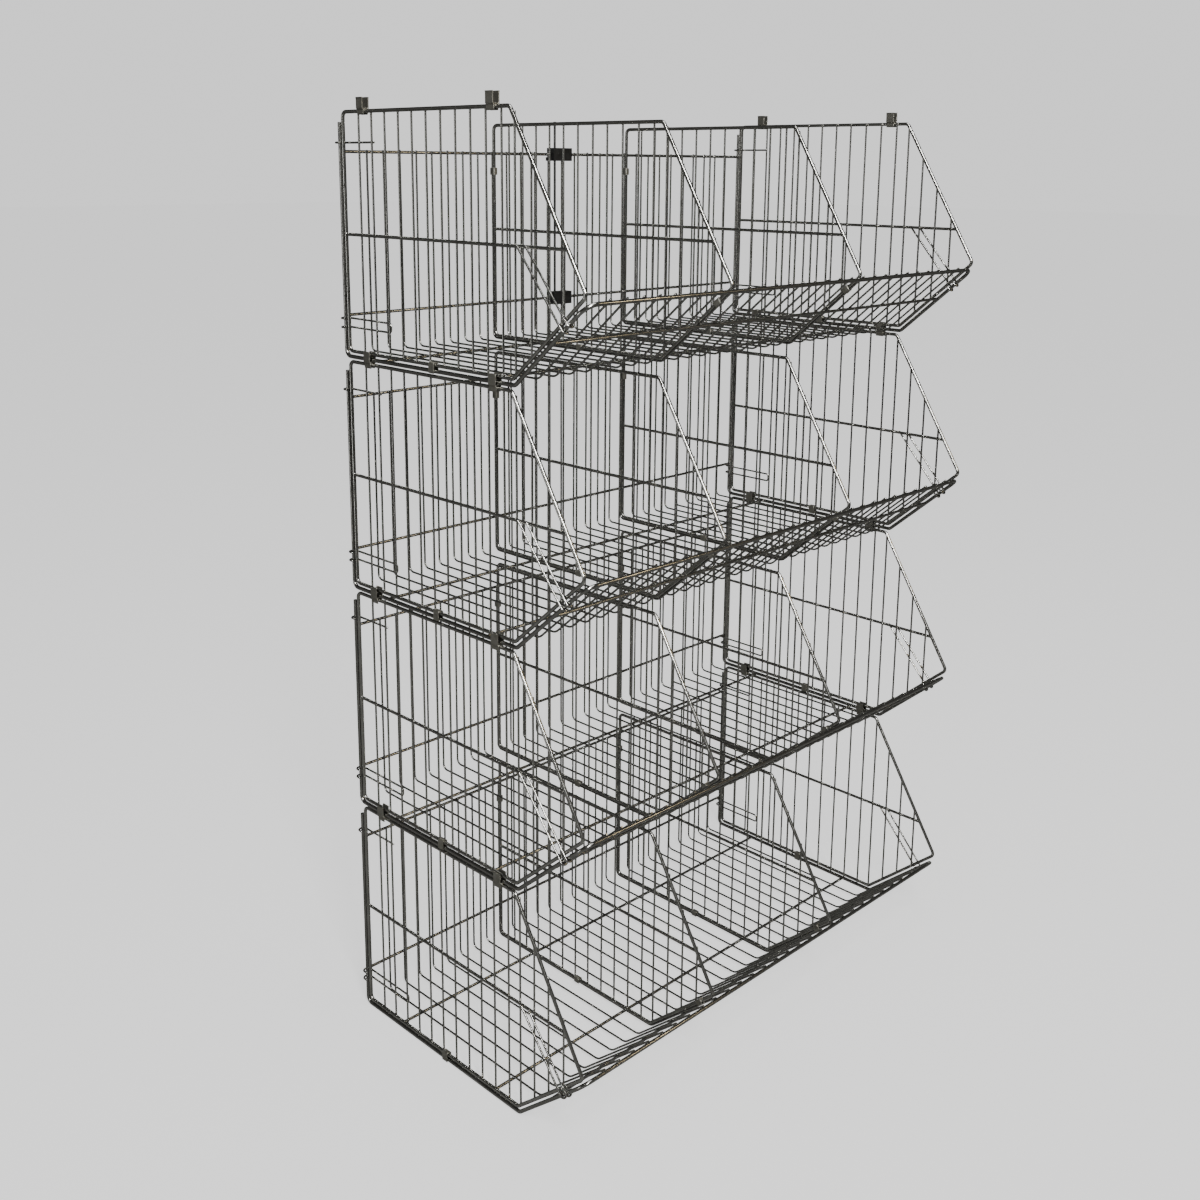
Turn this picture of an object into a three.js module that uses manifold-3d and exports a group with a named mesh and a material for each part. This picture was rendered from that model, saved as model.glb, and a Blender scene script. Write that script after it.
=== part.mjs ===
// A stack of four open-fronted wire baskets, each with two end panels and two dividers.
//
// Millimetres, +Z up, +X along the length, the open front faces -Y. The origin is the middle of the base.
// Inside a tier a point is given by its place along the length, its depth in front of the rear posts and its
// height above the end panels' bottom wire. Round wires are drawn as square bars of the same cross-section
// area. Wires that are welded sink into each other by WELD at the joints that hold a piece together, and pass
// each other with a hair's gap elsewhere.

import * as THREE from 'three';
import { mergeVertices } from 'three/addons/utils/BufferGeometryUtils.js';
import Module from 'manifold-3d';

const wasm = await Module();
wasm.setup();

// Driving dimensions
const TIER_COUNT = 4;
const LENGTH = 900; // between the middles of the two end panels
const PANEL_HEIGHT = 345; // bottom wire to top wire of an end panel
const PANEL_TOP_DEPTH = 365; // rear post to the front end of the top wire
const NOSE = { depth: 505, height: 117 }; // foremost corner of an end panel
const FLOOR_DEPTH = 369; // where the lip starts to rise
const DIVIDER_HEIGHT = 333;
const DIVIDER_LIP_SHORTFALL = 7; // a divider's nose stops this far behind an end panel's, along the lip
const MIDDLE_WIRE_HEIGHT = 171.5;
const REAR_POST_HEIGHT = 331;
const GAP = 0.3; // between pieces that touch
const WELD = 0.3; // depth that welded wires sink into each other

// Wire diameters
const TRAY_WIRE = 6.2;
const PANEL_WIRE = 5.6;
const RAIL_WIRE = 4.8;
const MIDDLE_WIRE = 5;
const THIN_WIRE = 3.2;
const SHEET = 1.5; // thickness of the sheet-metal clips

// Half the side of the square bar that stands for a round wire.
const half = (diameter) => (diameter * Math.sqrt(Math.PI)) / 4;

const THIN_HALF = half(THIN_WIRE);
const PANEL_HALF = half(PANEL_WIRE);
const RAIL_HALF = half(RAIL_WIRE);
const TRAY_HALF = half(TRAY_WIRE);

// The tray's wires lie outside the panels' outline: first the cross wires, then the frame and the rails.
const CROSS_OFFSET = PANEL_WIRE / 2 + GAP + THIN_WIRE / 2;
const FRAME_OFFSET = CROSS_OFFSET + THIN_HALF + TRAY_HALF - WELD;

// A panel's middle wire crosses the upright wires on their outside.
const MIDDLE_OFFSET = THIN_HALF + GAP + half(MIDDLE_WIRE);

// A tier's frame wire rests on the floor of the stacking clips of the tier below.
const CLIP_FLOOR_BOTTOM = PANEL_HALF + GAP;
const TIER_PITCH = PANEL_HEIGHT + CLIP_FLOOR_BOTTOM + SHEET + GAP + TRAY_HALF + FRAME_OFFSET;

// Tray
const BACK_RAIL_HEIGHTS = [52.5, 289.5];
const FLOOR_RAIL_DEPTHS = [81, 309.5];
const LIP_RAIL_ALONG = 90;
const LIP_TOP_INSET = 6.5; // nose of the end panels to the tray's top front wire, along the lip
const FRAME_BEND = 10;
const LIP_CORNER_BEND = 20;
const CROSS_REAR_BEND = 9;
const CROSS_COUNT = 28;
const CROSS_MARGIN = 42.4; // end panel to the nearest cross wire
const CROSS_PITCH = (LENGTH - 2 * CROSS_MARGIN) / (CROSS_COUNT - 1);
const CROSS_TIP = 3; // how far a cross wire runs past the top back rail

// Upright wires of a panel: an even run under the top wire, then four under the sloping wire.
const INFILL_FIRST = 33;
const INFILL_PITCH = 31.2;
const INFILL_REAR_COUNT = 11;
const INFILL_SLOPE_FIRST = 370;
const INFILL_SLOPE_PITCH = 30.5;
const INFILL_SLOPE_COUNT = 4;
const PANEL_BEND = 8;
const NOSE_BEND = 8;

// Eyes and latches of an end panel
const UPPER_EYE_HEIGHT = 302;
const LOWER_EYE_HEIGHTS = [34.7, 48];
const LATCH_LIP_PLACES = [120.6, 133.5];
const EYE_HALF = 4.8; // tray post's middle to the middle of the eye's wire

// Clips
const STACK_CLIP_DEPTHS = [49, 331.5];
const STACK_CLIP = { width: 15, innerHalf: 4.5, wallHeight: 15, skirt: 4.8 };
const FLOOR_CLIP = { depth: 200, width: 12, innerHalf: TRAY_HALF + GAP };
const DIVIDER_CROSS_WIRES = [8, 18]; // cross wires that the two dividers stand on
const DIVIDER_CLIP_WIDTH = 11;
const DIVIDER_HOOK_HEIGHT = 262;
const DIVIDER_LIP_CLIP_ALONG = 138;

// Sign rod
const ROD = { along: 413.5, depth: 2.4, diameter: 4, bottom: 46, top: 342 };
const ROD_CLIP = { length: 41, height: 21, start: 408, wall: 2.2, crossWire: 13 };
const ROD_SIDES = 12;
const CUT_OVERRUN = 1; // how far a cutting shape runs past the surface that it opens

const ZINC = { color: 0x8f9089, roughness: 0.32, metalness: 0.95 };
const SHEET_ZINC = { color: 0x77776e, roughness: 0.45, metalness: 0.85 };
const BLACK_PLASTIC = { color: 0x141414, roughness: 0.5, metalness: 0 };
const BLACK_PAINT = { color: 0x1a1a1a, roughness: 0.4, metalness: 0.2 };

const ALONG = new THREE.Vector3(1, 0, 0);
const FORWARD = new THREE.Vector3(0, -1, 0);
const UP = new THREE.Vector3(0, 0, 1);

// The lip's own directions: up along it, and square out of it.
const lipLength = Math.hypot(NOSE.depth - FLOOR_DEPTH, NOSE.height);
const lipCos = (NOSE.depth - FLOOR_DEPTH) / lipLength;
const lipSin = NOSE.height / lipLength;
const LIP_ALONG = new THREE.Vector3(0, -lipCos, lipSin);
const LIP_OUT = new THREE.Vector3(0, -lipSin, -lipCos);
const LIP_TOP_ALONG = lipLength - LIP_TOP_INSET;

const at = (along, depth, height) => new THREE.Vector3(along, -depth, height);

function onLip(along, upLip, outward) {
  const depth = FLOOR_DEPTH + upLip * lipCos + outward * lipSin;
  const height = upLip * lipSin - outward * lipCos;
  return at(along, depth, height);
}

// Where the floor's line meets the lip's line when both are moved outward by the same distance.
function lipFoot(along, outward) {
  const halfSlopeTangent = lipSin / (1 + lipCos);
  return at(along, FLOOR_DEPTH + outward * halfSlopeTangent, -outward);
}

// Solids

// What is left of a direction when its part along a leg is taken away.
const squareTo = (leg, direction) => direction.clone().addScaledVector(leg, -direction.dot(leg));

// A line of stations, one for each corner. The cross-section keeps its size along every leg and is mitred
// between legs.
class WirePath extends THREE.Curve {
  constructor(points, facing) {
    super();
    this.points = points;
    this.facing = facing;
  }

  getPoint(fraction) {
    const index = Math.round(fraction * (this.points.length - 1));
    return this.points[index].clone();
  }

  getPointAt(fraction) {
    return this.getPoint(fraction);
  }

  computeFrenetFrames() {
    const last = this.points.length - 1;
    const closed = this.points[0].equals(this.points[last]);
    const legs = this.points.slice(1).map((point, i) => point.clone().sub(this.points[i]).normalize());
    const legBefore = (i) => legs[i > 0 ? i - 1 : closed ? last - 1 : 0];
    const legAfter = (i) => legs[i < last ? i : closed ? 0 : last - 1];
    const frames = { tangents: [], normals: [], binormals: [] };
    let across = squareTo(legs[0], this.facing).normalize();
    let over = new THREE.Vector3().crossVectors(legs[0], across);
    for (let i = 0; i <= last; i += 1) {
      const leg = legs[Math.max(i - 1, 0)];
      const tangent = legBefore(i).clone().add(legAfter(i)).normalize();
      const mitre = (side) => side.clone().addScaledVector(leg, -side.dot(tangent) / leg.dot(tangent));
      frames.tangents.push(tangent);
      frames.normals.push(mitre(across));
      frames.binormals.push(mitre(over));
      across = squareTo(legAfter(i), frames.normals[i]);
      over = squareTo(legAfter(i), frames.binormals[i]);
    }
    return frames;
  }
}

// A wire through the given points. Two of its flat sides face the direction `facing`.
function wire(points, diameter, facing) {
  const reach = half(diameter);
  const corners = [
    [reach, reach],
    [-reach, reach],
    [-reach, -reach],
    [reach, -reach],
  ];
  const section = new THREE.Shape(corners.map(([x, y]) => new THREE.Vector2(x, y)));
  const extrudePath = new WirePath(points, facing);
  return new THREE.ExtrudeGeometry(section, { steps: points.length - 1, extrudePath, curveSegments: 1 });
}

// A wire whose two ends meet: the last point is the first one again, and the extrusion's end caps are
// left out.
function ring(points, diameter, facing) {
  const { groups, attributes } = wire([...points, points[0]], diameter, facing);
  const { start, count } = groups[1];
  const positions = attributes.position.array.slice(start * 3, (start + count) * 3);
  return new THREE.BufferGeometry().setAttribute('position', new THREE.BufferAttribute(positions, 3));
}

// The stations of an arc that replaces one corner of a line of points.
function arc(before, corner, after, radius, steps) {
  const back = before.clone().sub(corner).normalize();
  const ahead = after.clone().sub(corner).normalize();
  const turn = Math.PI - back.angleTo(ahead);
  const toCentre = back.clone().add(ahead).setLength(radius / Math.cos(turn / 2));
  const centre = corner.clone().add(toCentre);
  const start = corner.clone().addScaledVector(back, radius * Math.tan(turn / 2)).sub(centre);
  const axis = new THREE.Vector3().crossVectors(ahead, back).normalize();
  const stationAt = (step) => start.clone().applyAxisAngle(axis, (turn * step) / steps).add(centre);
  return Array.from({ length: steps + 1 }, (_, step) => stationAt(step));
}

// Rounds the inner corners of a line of points. A bend is [radius, steps]; a bend of null leaves the corner
// sharp.
function bend(points, bends) {
  const inner = bends.flatMap((entry, i) => {
    const [before, corner, after] = points.slice(i, i + 3);
    return entry ? arc(before, corner, after, ...entry) : [corner];
  });
  return [points[0], ...inner, points[points.length - 1]];
}

// Rounds every corner of a closed line of points.
function bendRing(points, bends) {
  const count = points.length;
  return bends.flatMap((entry, i) => {
    return arc(points[(i + count - 1) % count], points[i], points[(i + 1) % count], ...entry);
  });
}

// A flat outline drawn in the plane of two directions and extruded square to it, centred on `origin`.
function plate(outline, origin, right, up, thickness) {
  const shape = new THREE.Shape(outline.map(([x, y]) => new THREE.Vector2(x, y)));
  const geometry = new THREE.ExtrudeGeometry(shape, { depth: thickness, bevelEnabled: false });
  const out = new THREE.Vector3().crossVectors(right, up);
  const base = origin.clone().addScaledVector(out, -thickness / 2);
  geometry.applyMatrix4(new THREE.Matrix4().makeBasis(right, up, out).setPosition(base));
  return geometry;
}

function toSolid(geometry) {
  const bare = geometry.clone();
  bare.deleteAttribute('normal');
  bare.deleteAttribute('uv');
  const merged = mergeVertices(bare, 1e-4);
  return new wasm.Manifold(
    new wasm.Mesh({
      numProp: 3,
      vertProperties: Float32Array.from(merged.attributes.position.array),
      triVerts: Uint32Array.from(merged.index.array),
    }),
  );
}

function toGeometry(solid) {
  const mesh = solid.getMesh();
  const geometry = new THREE.BufferGeometry();
  geometry.setAttribute('position', new THREE.BufferAttribute(mesh.vertProperties, 3));
  geometry.setIndex(new THREE.BufferAttribute(mesh.triVerts, 1));
  return geometry;
}

const join = (pieces) => toGeometry(pieces.map(toSolid).reduce((whole, piece) => whole.add(piece)));
const cut = (blank, tools) => {
  return toGeometry(tools.map(toSolid).reduce((whole, tool) => whole.subtract(tool), toSolid(blank)));
};

// Tray

function trayFrame() {
  const side = (along) => [
    at(along, -FRAME_OFFSET, REAR_POST_HEIGHT),
    at(along, -FRAME_OFFSET, -FRAME_OFFSET),
    lipFoot(along, FRAME_OFFSET),
    onLip(along, LIP_TOP_ALONG, FRAME_OFFSET),
  ];
  const corners = [...side(0), ...side(LENGTH).toReversed()];
  const sideBends = [
    [FRAME_BEND, 1],
    [FRAME_BEND, 1],
    [LIP_CORNER_BEND, 2],
  ];
  return wire(bend(corners, [...sideBends, ...sideBends.toReversed()]), TRAY_WIRE, FORWARD);
}

function trayRails() {
  const rail = (placeAt, facing) => wire([placeAt(0), placeAt(LENGTH)], RAIL_WIRE, facing);
  return [
    ...BACK_RAIL_HEIGHTS.map((height) => rail((along) => at(along, -FRAME_OFFSET, height), FORWARD)),
    ...FLOOR_RAIL_DEPTHS.map((depth) => rail((along) => at(along, depth, -FRAME_OFFSET), UP)),
    rail((along) => onLip(along, LIP_RAIL_ALONG, FRAME_OFFSET), LIP_OUT),
  ];
}

function crossWire(along) {
  const corners = [
    at(along, -CROSS_OFFSET, BACK_RAIL_HEIGHTS[1] + CROSS_TIP),
    at(along, -CROSS_OFFSET, -CROSS_OFFSET),
    lipFoot(along, CROSS_OFFSET),
    onLip(along, LIP_TOP_ALONG, CROSS_OFFSET),
  ];
  return wire(bend(corners, [[CROSS_REAR_BEND, 2], null]), THIN_WIRE, ALONG);
}

const crossPlace = (index) => CROSS_MARGIN + index * CROSS_PITCH;

function trayGeometry() {
  const crossWires = Array.from({ length: CROSS_COUNT }, (_, i) => crossWire(crossPlace(i)));
  return join([trayFrame(), ...trayRails(), ...crossWires]);
}

// Panels: end panels and dividers share one outline

function infillDepths() {
  const evenRun = (count, first, pitch) => Array.from({ length: count }, (_, i) => first + i * pitch);
  return [
    ...evenRun(INFILL_REAR_COUNT, INFILL_FIRST, INFILL_PITCH),
    ...evenRun(INFILL_SLOPE_COUNT, INFILL_SLOPE_FIRST, INFILL_SLOPE_PITCH),
  ];
}

// The wires of one panel. The upright wires stand between the outline's wires; the middle wire crosses them
// on the outside, which is the side away from `inner` (+1 or -1 along the length).
function panelWires(along, height, lipReach, inner) {
  const noseDepth = FLOOR_DEPTH + lipReach * lipCos;
  const noseHeight = lipReach * lipSin;
  const slope = (noseHeight - height) / (noseDepth - PANEL_TOP_DEPTH);
  const slopeHeight = (depth) => height + (depth - PANEL_TOP_DEPTH) * slope;
  const lipHeight = (depth) => ((depth - FLOOR_DEPTH) * lipSin) / lipCos;

  const corners = [
    at(along, 0, 0),
    at(along, 0, height),
    at(along, PANEL_TOP_DEPTH, height),
    at(along, noseDepth, noseHeight),
    at(along, FLOOR_DEPTH, 0),
  ];
  const bends = [PANEL_BEND, PANEL_BEND, PANEL_BEND, NOSE_BEND, PANEL_BEND].map((radius) => [radius, 1]);
  const outline = ring(bendRing(corners, bends), PANEL_WIRE, ALONG);

  const middlePlace = along - inner * MIDDLE_OFFSET;
  const middleEnd = PANEL_TOP_DEPTH + (MIDDLE_WIRE_HEIGHT - height) / slope;
  const middleSpan = [at(middlePlace, 0, MIDDLE_WIRE_HEIGHT), at(middlePlace, middleEnd, MIDDLE_WIRE_HEIGHT)];
  const middleWire = wire(middleSpan, MIDDLE_WIRE, ALONG);

  const uprights = infillDepths().map((depth) => {
    const bottom = depth < FLOOR_DEPTH ? 0 : lipHeight(depth);
    const top = depth < PANEL_TOP_DEPTH ? height : slopeHeight(depth);
    return wire([at(along, depth, bottom), at(along, depth, top)], THIN_WIRE, ALONG);
  });
  return [outline, middleWire, ...uprights];
}

// A thin wire from an upright wire of the panel, at depth `reach`, back round the tray's rear post.
function eyePoints(along, inner, height, reach) {
  const rear = -FRAME_OFFSET - EYE_HALF;
  return [
    at(along + inner * (2 * THIN_HALF - WELD), reach, height),
    at(along + inner * EYE_HALF, rear, height),
    at(along - inner * EYE_HALF, rear, height),
    at(along - inner * EYE_HALF, -EYE_HALF, height),
  ];
}

function eyes(along, inner) {
  const [, second, third] = infillDepths();
  const upper = eyePoints(along, inner, UPPER_EYE_HEIGHT, second);
  const lower = LOWER_EYE_HEIGHTS.map((height) => eyePoints(along, inner, height, third));
  return [upper, ...lower].map((points) => wire(points, THIN_WIRE, UP));
}

// A latch wire slants from the middle wire past the lip and hooks under the tray's frame wire.
function latch(along, inner, upLip) {
  const middleAbove = (MIDDLE_WIRE_HEIGHT - upLip * lipSin) / lipCos;
  const weldSide = MIDDLE_OFFSET + half(MIDDLE_WIRE) + THIN_HALF - WELD;
  const hookSide = TRAY_HALF + GAP + THIN_HALF;
  const hookDrop = FRAME_OFFSET + hookSide;
  const points = [
    onLip(along - inner * weldSide, upLip, -middleAbove),
    onLip(along - inner * hookSide, upLip, hookDrop),
    onLip(along + inner * hookSide, upLip, hookDrop),
    onLip(along + inner * hookSide, upLip, FRAME_OFFSET),
  ];
  return wire(points, THIN_WIRE, LIP_ALONG);
}

function endPanelGeometry(along, inner) {
  return join([
    ...panelWires(along, PANEL_HEIGHT, lipLength, inner),
    ...eyes(along, inner),
    ...LATCH_LIP_PLACES.map((upLip) => latch(along, inner, upLip)),
  ]);
}

// A channel profile closed at the top: x across, y up from the middle of the panel's wire.
function saddleProfile(innerHalf, roof, foot) {
  const outerHalf = innerHalf + SHEET;
  return [
    [-outerHalf, foot],
    [-innerHalf, foot],
    [-innerHalf, roof],
    [innerHalf, roof],
    [innerHalf, foot],
    [outerHalf, foot],
    [outerHalf, roof + SHEET],
    [-outerHalf, roof + SHEET],
  ];
}

// Dividers straddle a cross wire with three clips: on the back, on the floor and on the lip.
function dividerGeometry(along) {
  const profile = saddleProfile(PANEL_HALF - WELD, PANEL_HALF - WELD, -CROSS_OFFSET);
  const clip = (origin, out) => plate(profile, origin, ALONG, out, DIVIDER_CLIP_WIDTH);
  return join([
    ...panelWires(along, DIVIDER_HEIGHT, lipLength - DIVIDER_LIP_SHORTFALL, 1),
    clip(at(along, 0, DIVIDER_HOOK_HEIGHT), FORWARD),
    clip(at(along, FLOOR_CLIP.depth, 0), UP),
    clip(onLip(along, DIVIDER_LIP_CLIP_ALONG, 0), LIP_OUT.clone().negate()),
  ]);
}

// Sheet-metal clips

// Stands astride the end panel's top wire and opens upwards to take the tier above.
function stackClipGeometry(along, depth) {
  const { width, innerHalf, wallHeight, skirt } = STACK_CLIP;
  const outerHalf = innerHalf + SHEET;
  const skirtInner = PANEL_HALF + GAP;
  const skirtOuter = skirtInner + SHEET;
  const floorTop = CLIP_FLOOR_BOTTOM + SHEET;
  const top = floorTop + wallHeight;
  const right = [
    [skirtInner, CLIP_FLOOR_BOTTOM],
    [skirtInner, -skirt],
    [skirtOuter, -skirt],
    [outerHalf, CLIP_FLOOR_BOTTOM],
    [outerHalf, top],
    [innerHalf, top],
    [innerHalf, floorTop],
  ];
  const left = right.map(([x, y]) => [-x, y]).reverse();
  return plate([...right, ...left], at(along, depth, PANEL_HEIGHT), ALONG, UP, width);
}

// Ties an end panel's bottom wire to the tray's frame wire under it.
function floorClipGeometry(along) {
  const profile = saddleProfile(FLOOR_CLIP.innerHalf, PANEL_HALF + GAP, -FRAME_OFFSET - TRAY_HALF);
  return plate(profile, at(along, FLOOR_CLIP.depth, 0), ALONG, UP, FLOOR_CLIP.width);
}

// Sign rod

// A block between two heights and two depths that spans part of the length.
function block(start, length, front, rear, middleHeight, height) {
  const geometry = new THREE.BoxGeometry(length, front - rear, height);
  return geometry.translate(start + length / 2, -(front + rear) / 2, middleHeight);
}

// Grips a back rail from the front, with a slot for the rail, a groove for one cross wire and a bore for
// the rod.
function rodClipGeometry(railHeight, hasFloor) {
  const { length, height, start, wall } = ROD_CLIP;
  const front = ROD.depth + ROD.diameter / 2 + wall;
  const rear = -FRAME_OFFSET - RAIL_HALF;
  const body = block(start, length, front, rear, railHeight, height);
  const slotFront = -FRAME_OFFSET + RAIL_HALF + GAP;
  const slotLength = length + 2 * CUT_OVERRUN;
  const slotHeight = 2 * (RAIL_HALF + GAP);
  const slot = block(start - CUT_OVERRUN, slotLength, slotFront, rear - CUT_OVERRUN, railHeight, slotHeight);
  const grooveStart = crossPlace(ROD_CLIP.crossWire) - THIN_HALF - GAP;
  const grooveFront = -CROSS_OFFSET + THIN_HALF + GAP;
  const grooveWidth = 2 * (THIN_HALF + GAP);
  const throughHeight = height + 2 * CUT_OVERRUN;
  const groove = block(grooveStart, grooveWidth, grooveFront, rear - CUT_OVERRUN, railHeight, throughHeight);

  const boreRadius = ROD.diameter / 2 + GAP;
  const bore = new THREE.CylinderGeometry(boreRadius, boreRadius, throughHeight, ROD_SIDES);
  bore.rotateX(Math.PI / 2);
  const boreMiddle = hasFloor ? ROD.bottom - GAP + throughHeight / 2 : railHeight;
  bore.translate(ROD.along, -ROD.depth, boreMiddle);
  return cut(body, [slot, groove, bore]);
}

function rodGeometry() {
  const rod = new THREE.CylinderGeometry(ROD.diameter / 2, ROD.diameter / 2, ROD.top - ROD.bottom, ROD_SIDES);
  rod.rotateX(Math.PI / 2);
  rod.translate(ROD.along, -ROD.depth, (ROD.top + ROD.bottom) / 2);
  return rod;
}

// Assembly

const stack = new THREE.Group();

function add(parent, name, geometry, look) {
  const mesh = new THREE.Mesh(geometry, new THREE.MeshStandardMaterial(look));
  mesh.name = name;
  parent.add(mesh);
}

const ENDS = [
  { name: 'left', along: 0, inner: 1 },
  { name: 'right', along: LENGTH, inner: -1 },
];
const SIDES = ['rear', 'front'];
const trayShape = trayGeometry();
const endShapes = ENDS.map(({ along, inner }) => endPanelGeometry(along, inner));
const dividerShapes = DIVIDER_CROSS_WIRES.map((index) => dividerGeometry(crossPlace(index)));

for (let level = 1; level <= TIER_COUNT; level += 1) {
  const tier = new THREE.Group();
  tier.position.z = (level - 1) * TIER_PITCH;
  stack.add(tier);
  add(tier, `tier${level}_tray`, trayShape, ZINC);
  ENDS.forEach(({ name, along }, end) => {
    add(tier, `tier${level}_end_${name}`, endShapes[end], ZINC);
    add(tier, `tier${level}_floor_clip_${name}`, floorClipGeometry(along), SHEET_ZINC);
    add(tier, `tier${level}_divider_${name}`, dividerShapes[end], ZINC);
    STACK_CLIP_DEPTHS.forEach((depth, i) => {
      add(tier, `tier${level}_stack_clip_${name}_${SIDES[i]}`, stackClipGeometry(along, depth), SHEET_ZINC);
    });
  });
}

const topTier = stack.children[TIER_COUNT - 1];
add(topTier, 'rod_clip_upper', rodClipGeometry(BACK_RAIL_HEIGHTS[1], false), BLACK_PLASTIC);
add(topTier, 'rod_clip_lower', rodClipGeometry(BACK_RAIL_HEIGHTS[0], true), BLACK_PLASTIC);
add(topTier, 'sign_rod', rodGeometry(), BLACK_PAINT);

// Bring the middle of the base to the origin.
const bounds = new THREE.Box3().setFromObject(stack);
const centre = bounds.getCenter(new THREE.Vector3());
stack.position.set(-centre.x, -centre.y, -bounds.min.z);

export default stack;
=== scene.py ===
"""A stack of four zinc-plated wire baskets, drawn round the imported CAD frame.

Shapes are worked out in millimetres in a tier's own frame: `along` runs from the left end panel to the
right one, `depth` forwards from the end panels' rear wires and `height` up from their bottom wires. `up_lip`
is measured up the sloping front from the floor's front corner. Every piece is built once for each tier.
"""

import math
import random

import bmesh
import bpy
from mathutils import Matrix, Vector


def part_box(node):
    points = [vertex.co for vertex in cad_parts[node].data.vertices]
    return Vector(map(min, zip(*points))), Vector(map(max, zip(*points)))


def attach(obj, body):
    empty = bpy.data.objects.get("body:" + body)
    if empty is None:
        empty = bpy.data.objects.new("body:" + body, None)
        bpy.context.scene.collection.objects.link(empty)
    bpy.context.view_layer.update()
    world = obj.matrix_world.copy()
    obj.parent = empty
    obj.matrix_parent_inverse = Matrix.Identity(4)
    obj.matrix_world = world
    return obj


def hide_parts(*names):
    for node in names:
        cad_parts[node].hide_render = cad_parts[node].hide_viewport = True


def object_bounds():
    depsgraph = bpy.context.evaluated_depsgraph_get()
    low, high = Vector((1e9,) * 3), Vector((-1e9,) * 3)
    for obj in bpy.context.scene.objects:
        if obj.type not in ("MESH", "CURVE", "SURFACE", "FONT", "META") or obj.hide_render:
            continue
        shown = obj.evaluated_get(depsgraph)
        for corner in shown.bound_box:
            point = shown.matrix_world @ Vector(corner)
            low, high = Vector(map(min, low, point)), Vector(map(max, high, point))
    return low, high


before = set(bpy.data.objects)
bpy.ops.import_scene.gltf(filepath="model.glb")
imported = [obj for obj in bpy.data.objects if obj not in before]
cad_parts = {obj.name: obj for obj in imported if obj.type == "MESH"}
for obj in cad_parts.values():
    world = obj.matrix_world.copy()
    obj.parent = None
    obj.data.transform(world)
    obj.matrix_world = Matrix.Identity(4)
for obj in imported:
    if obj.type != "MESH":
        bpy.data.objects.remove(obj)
cad_low, cad_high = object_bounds()

MM = 0.001

# Driving dimensions of the CAD model
LENGTH = 900.0
PANEL_HEIGHT = 345.0
PANEL_TOP_DEPTH = 365.0
NOSE_DEPTH = 505.0
NOSE_HEIGHT = 117.0
FLOOR_DEPTH = 369.0
DIVIDER_HEIGHT = 333.0
DIVIDER_LIP_SHORTFALL = 7.0
MIDDLE_WIRE_HEIGHT = 171.5
REAR_POST_HEIGHT = 331.0
CAD_FRAME_REACH = 11.3126  # end panels' bottom wire down to the underside of the tray's frame wire

# Diameters of the wires and the number of flat faces drawn round each
TRAY_WIRE = 6.2
PANEL_WIRE = 5.6
RAIL_WIRE = 4.8
MIDDLE_WIRE = 5.0
THIN_WIRE = 3.2
ROD_WIRE = 4.0
SIDES = {TRAY_WIRE: 20, PANEL_WIRE: 18, RAIL_WIRE: 16, MIDDLE_WIRE: 14, THIN_WIRE: 12, ROD_WIRE: 20}
END_CHAMFER = 0.35
CREASE = math.radians(38)  # the least angle between two faces that shows as an edge

# Sheet metal
SHEET = 1.5
SHEET_BEVEL = 0.3

# Welds: how deep one wire sinks into the other, and the reach and height of the squeezed-out metal
WELD_SINK = 0.7
RAIL_WELD_REACHES = (1.7, 2.1)
RAIL_WELD_HEIGHT = 0.95
LIP_WELD_REACHES = (1.8, 2.2)
LIP_WELD_HEIGHT = 1.0
MIDDLE_WELD = (2.7, 0.9)
UPRIGHT_WELD = (1.9, 0.8)
CROSSING_WELD = (1.8, 0.8)

# Offsets of the tray's wires outside the panels' outline
FRAME_OFFSET = CAD_FRAME_REACH - TRAY_WIRE / 2
CROSS_OFFSET = FRAME_OFFSET - TRAY_WIRE / 2 - THIN_WIRE / 2 + WELD_SINK
RAIL_OFFSET = CROSS_OFFSET + THIN_WIRE / 2 + RAIL_WIRE / 2 - WELD_SINK

# Offsets of a panel's wires towards its inner side
UPRIGHT_SIDE = PANEL_WIRE / 2 + THIN_WIRE / 2 - WELD_SINK
MIDDLE_SIDE = UPRIGHT_SIDE - THIN_WIRE / 2 - MIDDLE_WIRE / 2 + WELD_SINK
EYE_SIDE = UPRIGHT_SIDE + THIN_WIRE - WELD_SINK

# Tray
LOWER_BACK_RAIL = 52.5
UPPER_BACK_RAIL = 289.5
FLOOR_RAIL_DEPTHS = (81.0, 309.5)
RAIL_UP_LIP = 90.0
FRAME_BELOW_NOSE = 6.5
FRAME_BEND = 10.0
LIP_CORNER_BEND = 20.0
CROSS_REAR_BEND = 9.0
CROSS_LIP_BEND = 18.0
CROSS_COUNT = 28
CROSS_MARGIN = 42.4
CROSS_PITCH = (LENGTH - 2 * CROSS_MARGIN) / (CROSS_COUNT - 1)
CROSS_TIP = 3.0  # how far a cross wire runs past the middle of the wire at its end
CROSS_WANDER = 0.5
REAR_TIP_WANDER = (-0.6, 1.0)
LIP_TIP_WANDER = (-0.8, 0.6)

# Panels
PANEL_BEND = 8.0
UPRIGHT_DEPTHS = [33 + 31.2 * i for i in range(11)] + [370 + 30.5 * i for i in range(4)]  # level top, slope
UPRIGHT_TIP = 1.7  # how far an upright wire runs past the middle of the wire it is welded to
UPRIGHT_WANDER = 0.4
UPRIGHT_LEAN = 0.5
MIDDLE_WELD_SETBACK = 3.2  # from the middle wire's front end back to its weld
MIDDLE_CROSSING_MARGIN = 4.0  # uprights nearer than this to the middle wire's front end have no weld on it

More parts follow.
